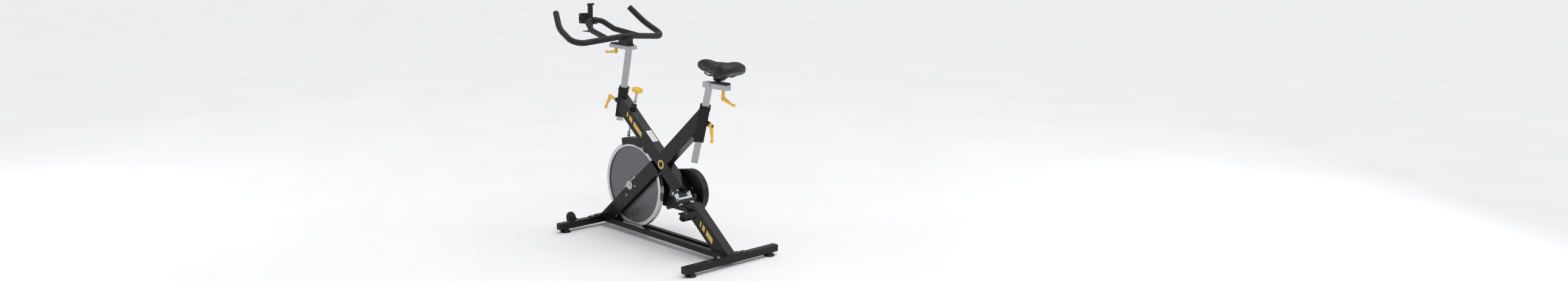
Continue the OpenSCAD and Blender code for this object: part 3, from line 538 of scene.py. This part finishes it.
def guard_details():
    """The curved joint down the guard's outer face, as a thin raised line."""
    corners = [(-0.036, 0, 0.383), (-0.0435, 0, 0.336), (-0.0425, 0, 0.245), (-0.058, 0, 0.192)]
    joint = rounded_path(corners, [0.08, 0.16])
    bm = bmesh.new()
    rows = []
    for i, point in enumerate(joint):
        t = (joint[min(i + 1, len(joint) - 1)] - joint[max(i - 1, 0)]).normalized()
        side = Vector((t.z, 0, -t.x)) * JOINT_HALF
        rows.append([bm.verts.new(Vector((point.x, GUARD_FACE + y, point.z)) + side * s)
                     for s, y in ((-1, 0.0), (-1, -JOINT_THICK), (1, -JOINT_THICK), (1, 0.0))])
    for a, b in zip(rows, rows[1:]):
        for k in range(4):
            bm.faces.new((a[k], a[(k + 1) % 4], b[(k + 1) % 4], b[k]))
    bm.faces.new(rows[0])
    bm.faces.new(rows[-1])
    bmesh.ops.recalc_face_normals(bm, faces=bm.faces)
    mesh = bpy.data.meshes.new("guard_joint")
    bm.to_mesh(mesh)
    bm.free()
    piece("guard_joint", mesh, "frame", "guard_plastic", PIPING)


def stickers():
    top = MAIN_POINT + MAIN_UP * TUBE_HALF
    side = Vector((0, 1, 0))
    label = [(-0.33, -0.018), (-0.255, -0.018), (-0.255, 0.018), (-0.33, 0.018)]
    patch("note_white", top, MAIN_DIR, side, label, MAIN_UP, "frame", "zinc", WHITE)
    for i in range(5):
        near, far = -0.322 + i * 0.0125, -0.322 + i * 0.0125 + 0.005
        end = 0.012 - 0.003 * (i % 2)
        patch(f"note_line_{i}", top + MAIN_UP * PRINT_OVER, MAIN_DIR, side,
              [(near, -0.014), (far, -0.014), (far, end), (near, end)], MAIN_UP, "frame", "zinc", GREY)
    top = SEAT_POINT + SEAT_UP * TUBE_HALF
    patch("seat_note", top, SEAT_DIR, side, [(0.05, -0.016), (0.17, -0.016), (0.17, 0.016), (0.05, 0.016)],
          SEAT_UP, "frame", "zinc", WHITE)
    patch("seat_note_stripe", top + SEAT_UP * PRINT_OVER, SEAT_DIR, side,
          [(0.055, -0.012), (0.072, -0.012), (0.072, 0.012), (0.055, 0.012)], SEAT_UP, "frame", "yellow", RED)


# ---- CAD nodes with rounded edges and finishes ----
def dress_frame():
    for node in ("base_rails", "front_stabilizer", "rear_stabilizer", "main_tube", "seat_tube", "fork_legs"):
        refine(node, PAINT, bevel=0.0028, segments=3)
    for node in ("head_sleeve", "seat_sleeve", "bottom_bracket", "wheel_brackets", "brake_arm"):
        refine(node, PAINT, bevel=0.0012)
    for node in ("sleeve_liners", "end_caps", "brake_boot", "bar_carriage", "bottle_cage"):
        refine(node, BLACK, bevel=0.001)
    refine("guard_inner", GUARD, bevel=0.002, segments=3)
    refine("guard_outer", GUARD, bevel=0.004, segments=4)
    for node in ("axle_caps", "frame_bolts", "guard_back_plate", "bearings"):
        refine(node, ZINC, bevel=0.0008)
    refine("drive_belt", RUBBER, bevel=0)


# Each lever's clamp face, screw direction and hub length
LEVERS = {
    "head": ((0.3202, 0, 0.7217), (0.979, 0, 0.2045), 0.057),
    "seat": ((-0.4294, 0, 0.6907), (-0.9668, 0, -0.2554), 0.020),
    "bar": ((0.3175, 0, 1.007), (0, 0, -1), 0.027),
    "saddle": ((-0.5263, 0, 0.876), (0, 0, -1), 0.047),
}


def lever_part(origin, axis, hub):
    """Zinc for the screw, black for the cap on the hub, and yellow elsewhere."""
    origin, axis = Vector(origin), Vector(axis).normalized()

    def choose(centre):
        along = (centre - origin).dot(axis)
        radial = (centre - origin - axis * along).length
        if along < 0.0004 and radial < 0.006:
            return 1
        return 2 if along > hub + 0.0022 and radial < 0.0075 else 0

    return choose


def dress_moving():
    refine("crank_spindle", ZINC, bevel=0.0008)
    for node in ("crank_left", "crank_right"):
        refine(node, CRANK_PAINT, bevel=0.003, segments=3)
    refine("drive_pulley", ALLOY, bevel=0.001)
    for side in ("left", "right"):
        refine("pedal_" + side, ALLOY, bevel=0.0018, segments=3)
        refine("pedal_cage_" + side, BLACK, bevel=0.0006)
        refine("toe_clip_" + side, BLACK, bevel=0.0012)
        refine("toe_strap_" + side, STRAP, bevel=0.0005)
        refine("transport_wheel_" + side, RUBBER, bevel=0.0015)
    refine("flywheel_disc", DISC, bevel=0.002)
    refine("flywheel_rim", POLISHED, bevel=0.0012, segments=3)
    refine("flywheel_axle", ZINC, bevel=0.0005)
    refine("head_post", STEEL, bevel=0.002, segments=3)
    refine("bar_track", STEEL, bevel=0.0008)
    refine("seat_post", STEEL, bevel=0.002, segments=3)
    refine("seat_track", STEEL, bevel=0.0008)
    refine("saddle_clamp", BLACK, bevel=0.001)
    refine("brake_rod", ZINC, bevel=0.0008)
    refine("brake_knob", YELLOW, bevel=0.0018, segments=3)
    refine("brake_pad", FELT, bevel=0.001)
    for end in ("front", "rear"):
        for side in ("left", "right"):
            refine(f"foot_{end}_{side}", RUBBER, bevel=0.0012)
    for lever, (origin, axis, hub) in LEVERS.items():
        parts = lever_part(origin, axis, hub)
        refine("lever_" + lever, YELLOW, ZINC, BLACK, bevel=0.0022, segments=3, chooser=parts)


# ---- Floor, light and camera ----
def studio():
    bpy.ops.mesh.primitive_plane_add(size=60, location=(0, 0, -0.0008))
    floor = bpy.context.object
    floor.name = "floor"
    ground = Look("floor", (0.86, 0.86, 0.87), 0.75)
    floor.data.materials.append(ground.tint(ground.noise(1.5), (0.83, 0.83, 0.84)).mat)
    world = bpy.data.worlds.new("studio")
    bpy.context.scene.world = world
    world.use_nodes = True
    sky = world.node_tree
    back = sky.nodes["Background"]
    # White to the camera, and a softer room to light and reflect
    seen = sky.nodes.new("ShaderNodeLightPath").outputs["Is Camera Ray"]
    level = sky.nodes.new("ShaderNodeMapRange")
    level.inputs["To Min"].default_value, level.inputs["To Max"].default_value = 0.42, 1.0
    sky.links.new(seen, level.inputs["Value"])
    sky.links.new(level.outputs["Result"], back.inputs["Strength"])
    back.inputs["Color"].default_value = (0.98, 0.985, 1, 1)
    for name, place, aim, size, power in (
        ("front_left", (3.2, 3.4, 1.9), (0, 0, 0.6), 1.8, 26),
        ("rear_right", (-2.6, -3.6, 1.9), (0, 0, 0.6), 1.8, 26),
        ("rear_left", (-3.6, 1.6, 2.4), (0, 0, 0.6), 1.2, 20),
    ):
        data = bpy.data.lights.new(name, "AREA")
        data.size, data.energy = size, power
        lamp = bpy.data.objects.new(name, data)
        lamp.location = place
        lamp.rotation_euler = (Vector(aim) - lamp.location).to_track_quat("-Z", "Y").to_euler()
        bpy.context.collection.objects.link(lamp)
    data = bpy.data.lights.new("overhead", "SUN")
    data.energy, data.angle = 2.0, math.radians(70)
    lamp = bpy.data.objects.new("overhead", data)
    lamp.rotation_euler = (math.radians(8), math.radians(-10), 0)
    bpy.context.collection.objects.link(lamp)
    bpy.context.scene.view_settings.view_transform = "Standard"


def camera():
    """Rear left, 11.5 degrees above level, with the bike left of the middle of a wide frame."""
    azimuth, elevation, distance = math.radians(230.0), math.radians(11.5), 6.344
    back = Vector((math.sin(azimuth) * math.cos(elevation), -math.cos(azimuth) * math.cos(elevation),
                   math.sin(elevation)))
    data = bpy.data.cameras.new("camera")
    data.lens, data.sensor_width = 27.66, 36
    data.shift_x = 0.083
    data.dof.use_dof = False
    cam = bpy.data.objects.new("camera", data)
    cam.location = Vector((0.001, 0, 0.543)) + back * distance
    cam.rotation_euler = (-back).to_track_quat("-Z", "Y").to_euler()
    bpy.context.collection.objects.link(cam)
    bpy.context.scene.camera = cam


camera()
studio()
dress_frame()
dress_moving()
handlebar()
saddle()
tube_prints()
oval_badge()
guard_details()
stickers()
